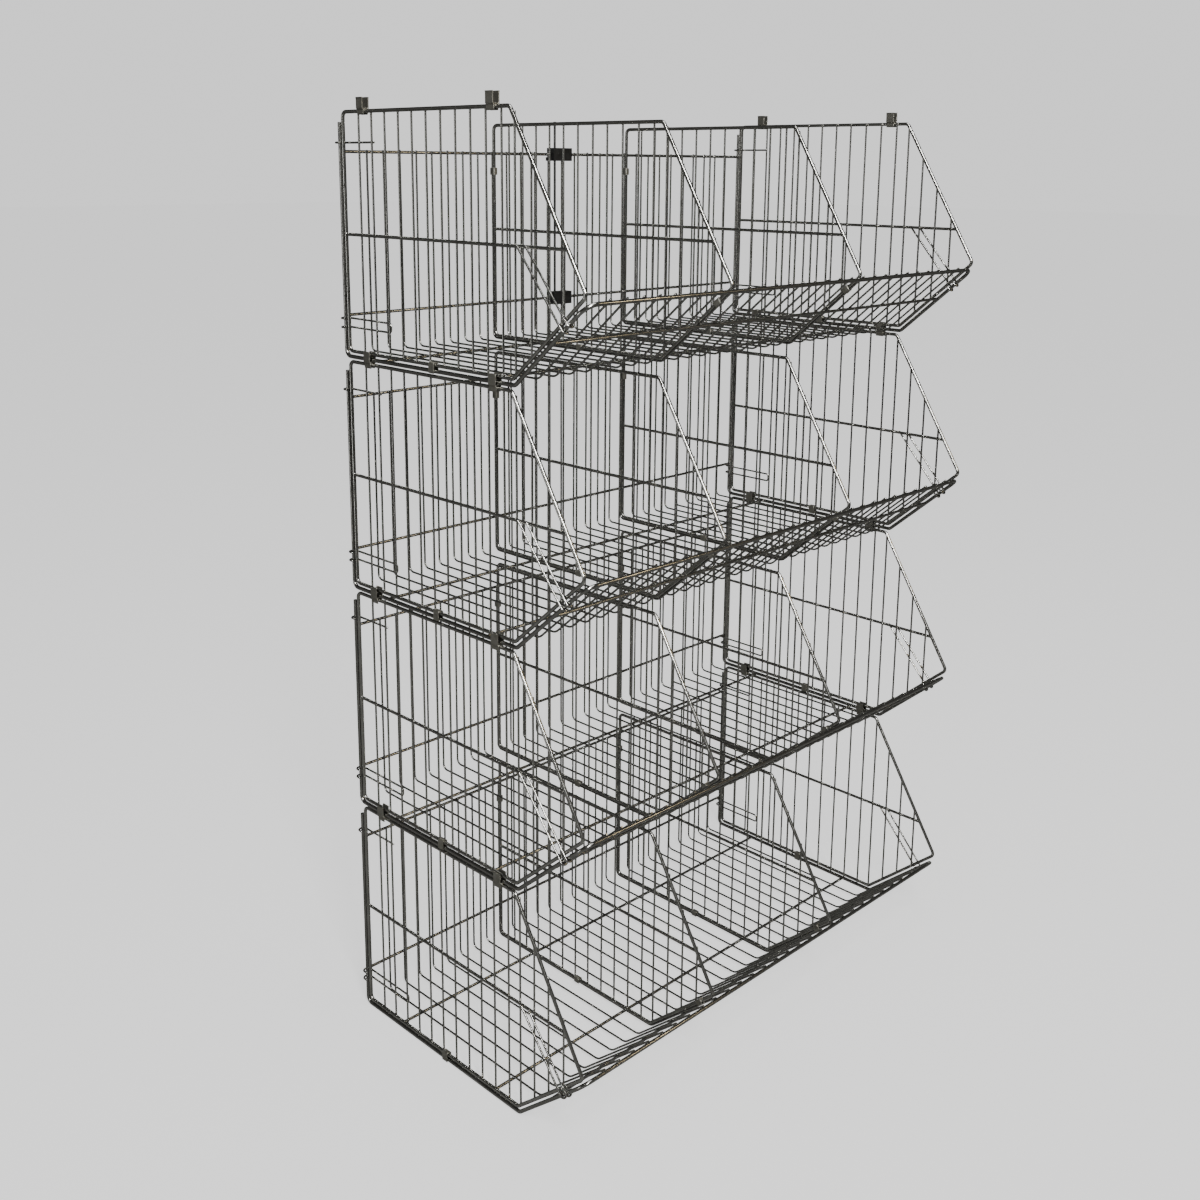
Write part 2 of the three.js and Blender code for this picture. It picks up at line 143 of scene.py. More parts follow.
# Thin-wire eyes round the rear posts
UPPER_EYE_HEIGHT = 302.0
LOWER_EYE_HEIGHTS = (34.7, 48.0)
EYE_TAIL = 2.2  # how far the upper eye runs past its upright wire
EYE_TIP_DEPTH = -2.5  # where an eye's free end stops
EYE_PAIR_BEND = 4.5

# Latches
LATCHES_UP_LIP = (120.6, 133.5)
LATCH_TAIL = 2.5  # how far a latch runs past the middle wire
LATCH_STRAIGHT = 14.0  # how far it then runs straight before it leans outwards
LATCH_CLEAR = 6.0  # distance from the lip by which it stands clear of the panel's outline
LATCH_GAP = 0.3
LATCH_TIP_RISE = 4.0
LATCH_TIP_LEAN = 1.5

# Stacking clips: the channel's floor and top are heights above the middle of the panel's top wire
STACK_CLIP_DEPTHS = {"rear": 49.0, "front": 331.5}
STACK_CLIP_WIDTH = 15.0
STACK_CLIP_FLOOR = 4.28
STACK_CLIP_TOP = 19.28
STACK_CLIP_INNER = 4.5
STACK_CLIP_SKIRT = 4.8
STACK_CLIP_TUCK = (0.7, 1.8)  # how far the skirt's foot turns in, and over what height
STACK_CLIP_STEP = (1.2, 0.6)  # the step between skirt and channel, below and above the web
STACK_CLIP_FLARE = (0.5, 3.0)  # how far the mouth opens, and over what height
STACK_CLIP_BENDS = (1.2, 1.2, 1.2, 6.0)
STACK_CLIP_WEB_INSET = 0.8

# Clips that straddle a wire
FLOOR_CLIP_DEPTH = 200.0
FLOOR_CLIP_WIDTH = 12.0
FLOOR_CLIP_FOOT = 1.2 - CAD_FRAME_REACH
FLOOR_CLIP_CURL = 0.7
DIVIDER_CLIP_WIDTH = 11.0
DIVIDER_CLIP_CURL = 0.5
DIVIDER_HOOK_HEIGHT = 262.0
DIVIDER_CLIP_UP_LIP = 138.0
SADDLE_BEND = 1.8
SADDLE_TOE = 0.8
DIVIDER_CROSS_WIRES = {"left": 8, "right": 18}  # the cross wires straddled, counted from 0

# Sign rod
ROD_ALONG = 413.5
ROD_DEPTH = 2.4
ROD_BOTTOM = 46.0
ROD_TOP = 342.0
LUG_PLACE = (408.0, -1.0, UPPER_BACK_RAIL - 7.5)  # along, depth and height
LUG_LINE = [(-9.5, 0), (-5, 0.4), (0, 0.4)]  # along and forwards from there
LUG_WIDTH = 6.0
LUG_THICKNESS = 5.0
ROD_CLIP_ROUNDING = 0.5

ALONG = Vector((1, 0, 0))
FORWARD = Vector((0, -1, 0))
UP = Vector((0, 0, 1))

LIP_LENGTH = math.hypot(NOSE_DEPTH - FLOOR_DEPTH, NOSE_HEIGHT)
LIP_COS = (NOSE_DEPTH - FLOOR_DEPTH) / LIP_LENGTH
LIP_SIN = NOSE_HEIGHT / LIP_LENGTH
LIP_UP = Vector((0, -LIP_COS, LIP_SIN))
LIP_OUT = Vector((0, -LIP_SIN, -LIP_COS))
FRAME_UP_LIP = LIP_LENGTH - FRAME_BELOW_NOSE

# Where the tiers' own frames lie in the row frame
tray_low, tray_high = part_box("tier1_tray")
TIER_ORIGIN = Vector(
    (
        (tray_low.x + tray_high.x) / 2 - LENGTH / 2 * MM,
        tray_high.y - CAD_FRAME_REACH * MM,
        tray_low.z + CAD_FRAME_REACH * MM,
    )
)
TIER_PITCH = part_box("tier2_tray")[0].z - tray_low.z
TIERS = (1, 2, 3, 4)
ENDS = {"left": (0.0, 1), "right": (LENGTH, -1)}  # each end panel's place and the way to its inner side

# Starts of the random draws that set each piece's small flaws
TRAY_SEED = 100
END_SEED = 200
DIVIDER_SEED = 400
TIER_SEED_STEP = 10


def at(along, depth, height):
    return Vector((along, -depth, height))


def on_lip(along, up_lip, outward):
    """A place on the sloping front, moved `outward` from the panels' outline."""
    depth = FLOOR_DEPTH + up_lip * LIP_COS + outward * LIP_SIN
    return at(along, depth, up_lip * LIP_SIN - outward * LIP_COS)


def lip_foot(along, outward):
    """Where the floor's line meets the lip's line when both are moved outward by the same distance."""
    return at(along, FLOOR_DEPTH + outward * LIP_SIN / (1 + LIP_COS), -outward)


def cross_place(index):
    return CROSS_MARGIN + index * CROSS_PITCH


# Lines of points


def straight(start, end, spans=3):
    """Evenly spaced points from `start` to `end`."""
    return [start.lerp(end, i / spans) for i in range(spans + 1)]


def arc(before, corner, after, radius, steps):
    """The points of an arc that replaces one corner."""
    back = (before - corner).normalized()
    ahead = (after - corner).normalized()
    turn = math.pi - back.angle(ahead)
    centre = corner + (back + ahead).normalized() * (radius / math.cos(turn / 2))
    start = (corner + back * radius * math.tan(turn / 2) - centre).normalized()
    angles = [turn * step / steps for step in range(steps + 1)]
    return [centre + (start * math.cos(angle) - back * math.sin(angle)) * radius for angle in angles]


def bend(points, radii, steps):
    """Rounds the inner corners of an open line of points."""
    bent = [points[0]]
    for i, radius in enumerate(radii):
        bent += arc(points[i], points[i + 1], points[i + 2], radius, steps)
    return bent + [points[-1]]


def bend_ring(points, radius, steps):
    """Rounds every corner of a closed line of points."""
    bent = []
    for i, point in enumerate(points):
        bent += arc(points[i - 1], point, points[(i + 1) % len(points)], radius, steps)
    return bent


def circle(centre, radius, first, second, count):
    """Points round a circle, from `first` by way of `second`."""
    angles = [2 * math.pi * i / count for i in range(count)]
    return [centre + (first * math.cos(a) + second * math.sin(a)) * radius for a in angles]


def half_turn(centre, radius, first, second, steps=10):
    """Points of a half circle from `first` round by way of `second`."""
    return circle(centre, radius, first, second, 2 * steps)[: steps + 1]


def flat(pairs):
    """A line seen edge on, for Shell.strip."""
    return [Vector((x, y, 0)) for x, y in pairs]


# Surfaces


class Shell:
    """Collects the faces of one piece."""

    def __init__(self):
        self.points = []
        self.faces = []
        self.places = []  # for each face, its corners' places round and along the wire

    def ring(self, points):
        first = len(self.points)
        self.points += points
        return range(first, first + len(points))

    def face(self, corners, places):
        self.faces.append(tuple(corners))
        self.places.append(places)

    def bridge(self, ring_a, ring_b, along_a, along_b):
        """Faces between two rings of the same number of points."""
        count = len(ring_a)
        for i in range(count):
            j = (i + 1) % count
            u0, u1 = i / count, (i + 1) / count
            places = ((u0, along_a), (u1, along_a), (u1, along_b), (u0, along_b))
            self.face((ring_a[i], ring_a[j], ring_b[j], ring_b[i]), places)

    def cap(self, ring, along):
        places = [(i / len(ring), along) for i in range(len(ring))]
        self.face(ring, places)

    def tube(self, path, diameter, facing, closed=False):
        """A round wire along a line of points, with its cut ends chamfered."""
        radius = diameter / 2
        chamfer = min(END_CHAMFER, radius / 4)
        stations = []
        last = len(path) - 1
        travelled = 0.0
        normal = facing
        for i, point in enumerate(path):
            before = path[i - 1] if i or closed else None
            after = path[(i + 1) % len(path)] if i < last or closed else None
            tangent = Vector()
            if before is not None:
                tangent += (point - before).normalized()
            if after is not None:
                tangent += (after - point).normalized()
            tangent.normalize()
            normal = (normal - normal.project(tangent)).normalized()
            if i:
                travelled += (point - path[i - 1]).length
            stations.append((point, tangent, normal, radius, travelled))
        if not closed:
            point, tangent, normal, _, travelled = stations[0]
            stations[0] = (point + tangent * chamfer, tangent, normal, radius, travelled + chamfer)
            stations.insert(0, (point, tangent, normal, radius - chamfer, travelled))
            point, tangent, normal, _, travelled = stations[-1]
            stations[-1] = (point - tangent * chamfer, tangent, normal, radius, travelled - chamfer)
            stations.append((point, tangent, normal, radius - chamfer, travelled))
        rings = []
        for point, tangent, normal, reach, _ in stations:
            points = circle(point, reach, normal, tangent.cross(normal), SIDES[diameter])
            rings.append(self.ring(points))
        travels = [station[-1] for station in stations]
        for i in range(len(rings) - 1):
            self.bridge(rings[i], rings[i + 1], travels[i], travels[i + 1])
        if closed:
            whole = travels[-1] + (path[0] - path[-1]).length
            self.bridge(rings[-1], rings[0], travels[-1], whole)
        else:
            self.cap(list(reversed(rings[0])), travels[0])
            self.cap(rings[-1], travels[-1])

    def nugget(self, centre, axis, across, reach, height, segments=8, levels=4):
        """A small squashed ball of squeezed-out metal where two wires are welded."""
        other = axis.cross(across)
        rings = []
        for level in range(1, levels):
            tilt = math.pi * level / levels
            middle = centre - axis * height * math.cos(tilt)
            rings.append(self.ring(circle(middle, reach * math.sin(tilt), across, other, segments)))
        bottom = self.ring([centre - axis * height])[0]
        top = self.ring([centre + axis * height])[0]
        for ring_a, ring_b in zip(rings, rings[1:]):
            self.bridge(ring_a, ring_b, 0, 1)
        for i in range(segments):
            j = (i + 1) % segments
            self.face((bottom, rings[0][j], rings[0][i]), ((0, 0), (1, 0), (1, 1)))
            self.face((top, rings[-1][i], rings[-1][j]), ((0, 0), (1, 0), (1, 1)))

    def strip(self, line, width, origin, right, up, thickness=SHEET):
        """Bent sheet metal. `line` is its middle, seen edge on, `right` and `up` from `origin`."""
        out = right.cross(up)
        edge = width / 2
        inner_edge = edge - SHEET_BEVEL
        count = len(line)
        rings = []
        for place, inset in ((-edge, SHEET_BEVEL), (-inner_edge, 0), (inner_edge, 0), (edge, SHEET_BEVEL)):
            left, other = [], []
            for i, point in enumerate(line):
                before = (point - line[i - 1]).normalized() if i else Vector()
                after = (line[i + 1] - point).normalized() if i < count - 1 else Vector()
                tangent = (before + after).normalized()
                stretch = 1 / max(0.5, tangent.dot(before if i else after))  # keeps the thickness in bends
                side = Vector((-tangent.y, tangent.x, 0)) * (thickness / 2 - inset) * stretch
                trim = tangent * inset * ((i == 0) - (i == count - 1))
                left.append(point + side + trim)
                other.append(point - side + trim)
            loop = left + other[::-1]
            rings.append(self.ring([origin + right * p.x + up * p.y + out * place for p in loop]))
        for i in range(len(rings) - 1):
            self.bridge(rings[i], rings[i + 1], i, i + 1)
        for ring, flip in ((rings[0], True), (rings[-1], False)):
            for i in range(count - 1):
                corners = [ring[i], ring[i + 1], ring[2 * count - 2 - i], ring[2 * count - 1 - i]]
                self.face(corners[::-1] if flip else corners, ((0, 0), (1, 0), (1, 1), (0, 1)))

    def piece(self, name, tier, body, slot, material, *nodes):
        """Makes the object, in its tier, riding on a body and standing for the given CAD nodes."""
        lift = Vector((0, 0, TIER_PITCH * (tier - 1)))
        mesh = bpy.data.meshes.new(name)
        mesh.from_pydata([TIER_ORIGIN + lift + p * MM for p in self.points], [], self.faces)
        layer = mesh.uv_layers.new(name="wire")
        for polygon, places in zip(mesh.polygons, self.places):
            for corner, place in zip(polygon.loop_indices, places):
                layer.data[corner].uv = place
        face_outwards(mesh)
        sharpen_edges(mesh)
        mesh.materials.append(material)
        obj = bpy.data.objects.new(name, mesh)
        bpy.context.scene.collection.objects.link(obj)
        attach(obj, body)
        if nodes:
            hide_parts(*nodes)


def face_outwards(mesh):
    """Turns every face outwards and shades it smooth."""
    sheet = bmesh.new()
    sheet.from_mesh(mesh)
    bmesh.ops.recalc_face_normals(sheet, faces=sheet.faces)
    for face in sheet.faces:
        face.smooth = True
    sheet.to_mesh(mesh)
    sheet.free()


def sharpen_edges(mesh):
    """Keeps the chamfered ends and folded edges crisp while the wires stay smooth."""
    faces_of = {}
    for polygon in mesh.polygons:
        for key in polygon.edge_keys:
            faces_of.setdefault(key, []).append(polygon.normal)
    index_of = {edge.key: edge.index for edge in mesh.edges}
    for key, normals in faces_of.items():
        if len(normals) == 2 and normals[0].angle(normals[1], 0) > CREASE:
            mesh.edges[index_of[key]].use_edge_sharp = True


# Materials


class Graph:
    """Lays out the nodes of a material or a world."""

    def __init__(self, owner, output):
        owner.use_nodes = True
        self.tree = owner.node_tree
        self.tree.nodes.clear()
        self.surface = self.node(output).inputs["Surface"]

    def node(self, kind, **values):
        made = self.tree.nodes.new(kind)
        for key, value in values.items():
            setattr(made, key, value)
        return made

    def link(self, source, target):
        self.tree.links.new(source, target)

    def coordinates(self, source, scale):
        """`source` is an output of the Texture Coordinate node."""
        place = self.node("ShaderNodeTexCoord")
        mapping = self.node("ShaderNodeMapping")
        mapping.inputs["Scale"].default_value = scale
        self.link(place.outputs[source], mapping.inputs["Vector"])
        return mapping.outputs["Vector"]

    def noise(self, vector, scale, detail, roughness=0.55):
        made = self.node("ShaderNodeTexNoise")
        made.inputs["Scale"].default_value = scale
        made.inputs["Detail"].default_value = detail
        made.inputs["Roughness"].default_value = roughness
        self.link(vector, made.inputs["Vector"])
        return made.outputs["Fac"]

    def ramp(self, factor, stops):
        """stops are (place, colour) pairs; a colour may be one number."""
        made = self.node("ShaderNodeValToRGB")
        elements = made.color_ramp.elements
        while len(elements) < len(stops):
            elements.new(0.5)
        for element, (place, colour) in zip(elements, stops):
            element.position = place
            element.color = (*colour, 1) if isinstance(colour, tuple) else (colour, colour, colour, 1)
        self.link(factor, made.inputs["Fac"])
        return made.outputs["Color"]

    def combine(self, kind, first, second):
        """Multiplies or adds two colours. A Mix node's sockets are told apart by number, not by name."""
        made = self.node("ShaderNodeMix", data_type="RGBA", blend_type=kind)
        factor, colour_a, colour_b = (made.inputs[i] for i in (0, 6, 7))
        factor.default_value = 1.0
        self.link(first, colour_a)
        self.link(second, colour_b)
        return made.outputs[2]

    def bump(self, height, strength, distance, below=None):
        made = self.node("ShaderNodeBump")
        made.inputs["Strength"].default_value = strength
        made.inputs["Distance"].default_value = distance
        self.link(height, made.inputs["Height"])
        if below is not None:
            self.link(below, made.inputs["Normal"])
        return made.outputs["Normal"]

    def plain(self, kind, colour, strength=None):
        """A diffuse, glowing or background shader of one colour."""
        made = self.node(kind)
        made.inputs["Color"].default_value = (*colour, 1)
        if strength is not None:
            made.inputs["Strength"].default_value = strength
        return made.outputs[0]

    def camera_only(self, seen, unseen):
        """The camera meets one shader and other rays another, so the wires don't mirror a bright backdrop."""
        path = self.node("ShaderNodeLightPath")
        mix = self.node("ShaderNodeMixShader")
        factor, shader_a, shader_b = mix.inputs
        self.link(path.outputs["Is Camera Ray"], factor)
        self.link(unseen, shader_a)
        self.link(seen, shader_b)
        self.link(mix.outputs["Shader"], self.surface)


class Finish(Graph):
    """A material with one Principled shader."""

    def __init__(self, name):
        self.material = bpy.data.materials.new(name)
        super().__init__(self.material, "ShaderNodeOutputMaterial")
        shader = self.node("ShaderNodeBsdfPrincipled")
        self.inputs = shader.inputs
        self.link(shader.outputs["BSDF"], self.surface)

    def drive(self, colour, roughness, normal):
        self.link(colour, self.inputs["Base Color"])
        self.link(roughness, self.inputs["Roughness"])
        self.link(normal, self.inputs["Normal"])


EVEN = (1, 1, 1)
ZINC_SHADES = [(0.3, (0.77, 0.766, 0.72)), (0.5, (1.0, 0.994, 0.945)), (0.72, (1.23, 1.22, 1.17))]


def zinc_wire(name, brightness):
    """Bright zinc over drawn wire: cloudy tone, fine lines along the wire and small dull specks."""
    finish = Finish(name)
    solid = finish.coordinates("Object", EVEN)
    drawn = finish.coordinates("UV", (9, 0.02, 1))
    clouds = finish.noise(solid, scale=26, detail=4)
    specks = finish.noise(solid, scale=900, detail=2)
    lines = finish.noise(drawn, scale=6, detail=4, roughness=0.7)
    # brightness sets a lit or shaded copy of the same zinc: painted light and painted shade, not a different
    # metal
    shades = [(place, tuple(brightness * part for part in colour)) for place, colour in ZINC_SHADES]
    tone = finish.ramp(clouds, shades)
    dull = finish.ramp(specks, [(0.56, 1.0), (0.68, (0.62, 0.6, 0.56))])
    streaks = finish.ramp(lines, [(0.35, (0.88, 0.88, 0.87)), (0.6, 1.0)])
    gloss = finish.ramp(clouds, [(0.3, 0.24), (0.7, 0.13)])
    haze = finish.ramp(specks, [(0.55, 0.0), (0.7, 0.08)])
    low = finish.bump(lines, strength=0.06, distance=0.00004)
    finish.drive(
        colour=finish.combine("MULTIPLY", finish.combine("MULTIPLY", tone, dull), streaks),
        roughness=finish.combine("ADD", gloss, haze),
        normal=finish.bump(specks, strength=0.04, distance=0.00003, below=low),
    )
    finish.inputs["Metallic"].default_value = 1.0
    return finish.material


def zinc_sheet():
    """Zinc-plated strip: duller than the wire, with faint rolling lines."""
    finish = Finish("zinc_sheet")
    solid = finish.coordinates("Object", EVEN)
    rolled = finish.coordinates("Object", (14, 14, 260))
    clouds = finish.noise(solid, scale=60, detail=5)
    lines = finish.noise(rolled, scale=8, detail=3)
    grain = finish.noise(solid, scale=1400, detail=2)
    shades = [(0.3, (0.22, 0.213, 0.185)), (0.55, (0.3, 0.292, 0.26)), (0.75, (0.38, 0.372, 0.34))]
    tone = finish.ramp(clouds, shades)
    streaks = finish.ramp(lines, [(0.35, (0.78, 0.78, 0.76)), (0.65, 1.0)])
    low = finish.bump(lines, strength=0.3, distance=0.00008)
    finish.drive(
        colour=finish.combine("MULTIPLY", tone, streaks),
        roughness=finish.ramp(clouds, [(0.3, 0.5), (0.7, 0.36)]),
        normal=finish.bump(grain, strength=0.25, distance=0.00005, below=low),
    )
    finish.inputs["Metallic"].default_value = 0.95
    return finish.material


def black_plastic():
    """Moulded plastic with a fine spark-eroded grain and a few scuffs."""
    finish = Finish("black_plastic")
    solid = finish.coordinates("Object", EVEN)
    grain = finish.noise(solid, scale=1800, detail=3)
    scuffs = finish.noise(solid, scale=90, detail=6, roughness=0.7)
    finish.drive(
        colour=finish.ramp(scuffs, [(0.4, 0.004), (0.75, 0.012)]),
        roughness=finish.ramp(scuffs, [(0.35, 0.42), (0.7, 0.6)]),
        normal=finish.bump(grain, strength=0.45, distance=0.00008),
    )
    finish.inputs["Specular IOR Level"].default_value = 0.3
    return finish.material


def black_paint():
    """Satin black coating over a drawn rod, slightly uneven and thin in places."""
    finish = Finish("black_paint")
    solid = finish.coordinates("Object", (1, 1, 0.2))
    peel = finish.noise(solid, scale=420, detail=3)
    wear = finish.noise(solid, scale=150, detail=6, roughness=0.75)
    finish.drive(
        colour=finish.ramp(wear, [(0.55, (0.014, 0.014, 0.013)), (0.8, (0.06, 0.058, 0.052))]),
        roughness=finish.ramp(wear, [(0.4, 0.3), (0.75, 0.5)]),
        normal=finish.bump(peel, strength=0.25, distance=0.0001),
    )
    return finish.material


# The tray's and the panels' wires are one zinc. The tray's copy is painted darker as painted shade and the
# panels' copy lighter as painted light, copying how much light each set of wires catches.
TRAY_ZINC_PAINTED_SHADE = zinc_wire("zinc_tray_wire_painted_shade", 0.32)
PANEL_ZINC_PAINTED_LIGHT = zinc_wire("zinc_panel_wire_painted_light", 0.40)
SHEET_ZINC = zinc_sheet()
PLASTIC = black_plastic()
PAINT = black_paint()


# Tray


def frame_side(along):
    """The frame wire's corners at one end, from the top of the rear post to the top of the lip."""
    return [
        at(along, -FRAME_OFFSET, REAR_POST_HEIGHT),
        at(along, -FRAME_OFFSET, -FRAME_OFFSET),
        lip_foot(along, FRAME_OFFSET),
        on_lip(along, FRAME_UP_LIP, FRAME_OFFSET),
    ]


def rails():
    """Each lengthwise wire's left end and the direction in which it lies outside the cross wires."""
    back = [(at(0, -RAIL_OFFSET, height), -FORWARD) for height in (LOWER_BACK_RAIL, UPPER_BACK_RAIL)]
    floor = [(at(0, depth, -RAIL_OFFSET), -UP) for depth in FLOOR_RAIL_DEPTHS]
    lip = [(on_lip(0, RAIL_UP_LIP, RAIL_OFFSET), LIP_OUT)]
    return back + floor + lip


def cross_wire(shell, along, chance):
    """One bent cross wire, very slightly out of true as a real one is."""
    places = [along + chance.uniform(-CROSS_WANDER, CROSS_WANDER) for _ in range(4)]
    top = UPPER_BACK_RAIL + CROSS_TIP + chance.uniform(*REAR_TIP_WANDER)
    lip_top = FRAME_UP_LIP + CROSS_TIP + chance.uniform(*LIP_TIP_WANDER)
    corners = [
        at(places[0], -CROSS_OFFSET, top),
        at(places[1], -CROSS_OFFSET, -CROSS_OFFSET),
        lip_foot(places[2], CROSS_OFFSET),
        on_lip(places[3], lip_top, CROSS_OFFSET),
    ]
    shell.tube(bend(corners, [CROSS_REAR_BEND, CROSS_LIP_BEND], steps=9), THIN_WIRE, ALONG)


def tray_piece(tier):
    shell = Shell()
    chance = random.Random(TRAY_SEED + tier)
    side_bends = [FRAME_BEND, FRAME_BEND, LIP_CORNER_BEND]
    frame_line = bend(frame_side(0) + frame_side(LENGTH)[::-1], side_bends + side_bends[::-1], steps=10)
    shell.tube(frame_line, TRAY_WIRE, FORWARD)
    for start, out in rails():
        shell.tube(straight(start, start + ALONG * LENGTH), RAIL_WIRE, out)
    contact = CROSS_OFFSET + THIN_WIRE / 2 - WELD_SINK / 2
    for index in range(CROSS_COUNT):
        along = cross_place(index)
        cross_wire(shell, along, chance)
        for start, out in rails():
            weld = start + ALONG * along - out * (RAIL_OFFSET - contact)
            shell.nugget(weld, out, ALONG, chance.uniform(*RAIL_WELD_REACHES), RAIL_WELD_HEIGHT)
        weld = on_lip(along, FRAME_UP_LIP, contact)
        shell.nugget(weld, LIP_OUT, ALONG, chance.uniform(*LIP_WELD_REACHES), LIP_WELD_HEIGHT)
    name = f"tier{tier}_tray"
    shell.piece(f"{name}_wires", tier, f"tier{tier}", "wire", TRAY_ZINC_PAINTED_SHADE, name)


# Panels


def panel_outline(along, height, nose):
    corners = [
        at(along, 0, 0),
        at(along, 0, height),
        at(along, PANEL_TOP_DEPTH, height),
        nose,
        at(along, FLOOR_DEPTH, 0),
    ]
    return bend_ring(corners, PANEL_BEND, steps=8)


def panel_wires(shell, along, height, lip_reach, inner, chance):
    """Outline, middle wire and upright wires. `inner` is the side the upright wires are welded to."""
    nose = on_lip(along, lip_reach, 0)
    shell.tube(panel_outline(along, height, nose), PANEL_WIRE, ALONG, closed=True)
    slope = (nose.z - height) / (-nose.y - PANEL_TOP_DEPTH)

    middle = along + inner * MIDDLE_SIDE
    middle_end = PANEL_TOP_DEPTH + (MIDDLE_WIRE_HEIGHT - height) / slope
    ends = [at(middle, depth, MIDDLE_WIRE_HEIGHT) for depth in (0, middle_end)]
    shell.tube(ends, MIDDLE_WIRE, ALONG)
    for depth in (PANEL_WIRE / 2, middle_end - MIDDLE_WELD_SETBACK):
        shell.nugget(at(middle, depth, MIDDLE_WIRE_HEIGHT), FORWARD, ALONG, *MIDDLE_WELD)

    place = along + inner * UPRIGHT_SIDE
    contact = along + inner * (PANEL_WIRE / 2 - WELD_SINK / 2)
    crossing = along + inner * (UPRIGHT_SIDE - THIN_WIRE / 2 + WELD_SINK / 2)
    for depth in UPRIGHT_DEPTHS:
        depth += chance.uniform(-UPRIGHT_WANDER, UPRIGHT_WANDER)
        lean = chance.uniform(-UPRIGHT_LEAN, UPRIGHT_LEAN)
        bottom = 0 if depth < FLOOR_DEPTH else (depth - FLOOR_DEPTH) * LIP_SIN / LIP_COS
        top = height if depth < PANEL_TOP_DEPTH else height + (depth - PANEL_TOP_DEPTH) * slope
        ends = [at(place, depth, bottom - UPRIGHT_TIP), at(place, depth + lean, top + UPRIGHT_TIP)]
        shell.tube(ends, THIN_WIRE, ALONG)
        shell.nugget(at(contact, depth, bottom), ALONG * inner, FORWARD, *UPRIGHT_WELD)
        shell.nugget(at(contact, depth + lean, top), ALONG * inner, FORWARD, *UPRIGHT_WELD)
        if depth < middle_end - MIDDLE_CROSSING_MARGIN:
            weld = at(crossing, depth + lean / 2, MIDDLE_WIRE_HEIGHT)
            shell.nugget(weld, ALONG * inner, FORWARD, *CROSSING_WELD)


def eye_line(along, inner, height, reach):
    """From an upright wire at depth `reach` back round the tray's rear post."""
    post = at(along, -FRAME_OFFSET, height)
    start = at(along + inner * EYE_SIDE, reach, height)
    tip = at(along - inner * EYE_SIDE, EYE_TIP_DEPTH, height)
    return [start] + half_turn(post, EYE_SIDE, ALONG * inner, -FORWARD) + [tip]


def eyes(shell, along, inner):
    """One eye high on the rear post, and two low ones bent from a single wire."""
    upper = eye_line(along, inner, UPPER_EYE_HEIGHT, UPRIGHT_DEPTHS[1] + EYE_TAIL)
    shell.tube(upper, THIN_WIRE, UP)
    below, above = (eye_line(along, inner, height, UPRIGHT_DEPTHS[2]) for height in LOWER_EYE_HEIGHTS)
    below.reverse()
    joined = bend(below[-2:] + above[:2], [EYE_PAIR_BEND] * 2, steps=6)
    shell.tube(below[:-2] + joined + above[2:], THIN_WIRE, UP)


def latch(shell, along, inner, up_lip):
    """A spring wire that slants from the middle wire past the lip and hooks under the tray's frame wire."""
    middle_above = (MIDDLE_WIRE_HEIGHT - up_lip * LIP_SIN) / LIP_COS
    weld_side = MIDDLE_WIRE / 2 + THIN_WIRE / 2 - MIDDLE_SIDE - WELD_SINK
    hook = TRAY_WIRE / 2 + THIN_WIRE / 2 + LATCH_GAP
    sideways = -ALONG * inner
    frame_wire = on_lip(along, up_lip, FRAME_OFFSET)
    start = on_lip(along, up_lip, -middle_above - LATCH_TAIL) + sideways * weld_side
    knee = on_lip(along, up_lip, LATCH_STRAIGHT - middle_above) + sideways * weld_side
    beside = on_lip(along, up_lip, -LATCH_CLEAR) + sideways * hook
    tip = frame_wire - sideways * (hook + LATCH_TIP_LEAN) - LIP_OUT * LATCH_TIP_RISE
    loop = half_turn(frame_wire, hook, sideways, LIP_OUT)
    shell.tube([start, knee, beside] + loop + [tip], THIN_WIRE, LIP_UP)


def end_panel_piece(tier, end):
    along, inner = ENDS[end]
    shell = Shell()
    chance = random.Random(END_SEED + TIER_SEED_STEP * tier + inner)
    panel_wires(shell, along, PANEL_HEIGHT, LIP_LENGTH, inner, chance)
    eyes(shell, along, inner)
    for up_lip in LATCHES_UP_LIP:
        latch(shell, along, inner, up_lip)
    name = f"tier{tier}_end_{end}"
    shell.piece(f"{name}_wires", tier, f"tier{tier}", "wire", PANEL_ZINC_PAINTED_LIGHT, name)


def saddle(half_width, foot, curl):
    """The middle of a sheet bent over a panel's wire and down to `foot`, where it turns in by `curl`."""
    wall = half_width + SHEET / 2
    top = PANEL_WIRE / 2 + SHEET / 2
    over = bend(flat([(-wall, foot), (-wall, top), (wall, top), (wall, foot)]), [SADDLE_BEND] * 2, steps=5)
    first_toe, last_toe = flat([(curl - wall, foot - SADDLE_TOE), (wall - curl, foot - SADDLE_TOE)])
    return [first_toe] + over + [last_toe]


def divider_pieces(tier, end):
    along = cross_place(DIVIDER_CROSS_WIRES[end])
    body = f"divider{tier}_{end}"
    name = f"tier{tier}_divider_{end}"
    wires = Shell()
    chance = random.Random(DIVIDER_SEED + TIER_SEED_STEP * tier + len(end))
    panel_wires(wires, along, DIVIDER_HEIGHT, LIP_LENGTH - DIVIDER_LIP_SHORTFALL, 1, chance)
    wires.piece(f"{name}_wires", tier, body, "wire", PANEL_ZINC_PAINTED_LIGHT, name)
    clips = Shell()
    line = saddle(PANEL_WIRE / 2, -CROSS_OFFSET, DIVIDER_CLIP_CURL)
    clips.strip(line, DIVIDER_CLIP_WIDTH, at(along, 0, DIVIDER_HOOK_HEIGHT), ALONG, FORWARD)
    clips.strip(line, DIVIDER_CLIP_WIDTH, at(along, FLOOR_CLIP_DEPTH, 0), ALONG, UP)
    clips.strip(line, DIVIDER_CLIP_WIDTH, on_lip(along, DIVIDER_CLIP_UP_LIP, 0), ALONG, -LIP_OUT)
    clips.piece(f"{name}_clips", tier, body, "sheet_clip", SHEET_ZINC)


# Sheet-metal clips


